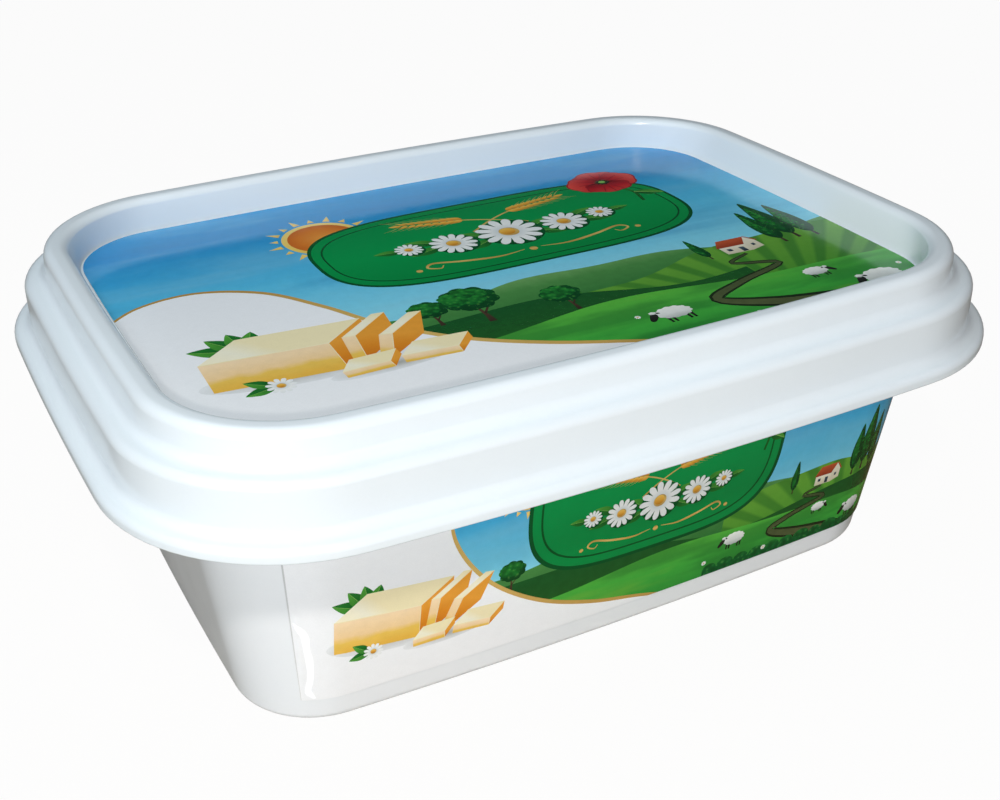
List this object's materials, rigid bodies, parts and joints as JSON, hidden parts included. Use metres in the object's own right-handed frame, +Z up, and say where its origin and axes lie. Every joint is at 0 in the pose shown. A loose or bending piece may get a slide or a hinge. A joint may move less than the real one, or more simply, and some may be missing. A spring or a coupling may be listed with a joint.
{
  "type": "butter tub",
  "caption": "Shut plastic tub of butter: a white tapered tub with rounded corners, a stepped press-on lid with a raised rim, and a printed countryside label on the lid and round the sides.",
  "frame": {"origin": "middle of the base, on the surface that the tub stands on", "axes": "+X along the long side, the front towards -Y, +Z up"},
  "size_m": [0.125, 0.093, 0.0462],
  "materials": {
    "white_plastic": "smooth injection-moulded plastic, semi-gloss",
    "printed_film": "glossy printed in-mould film"
  },
  "bodies": {
    "root": {"tub": "white_plastic", "lid": "white_plastic", "lid_label": "printed_film", "tub_label": "printed_film"}
  },
  "joints": []
}
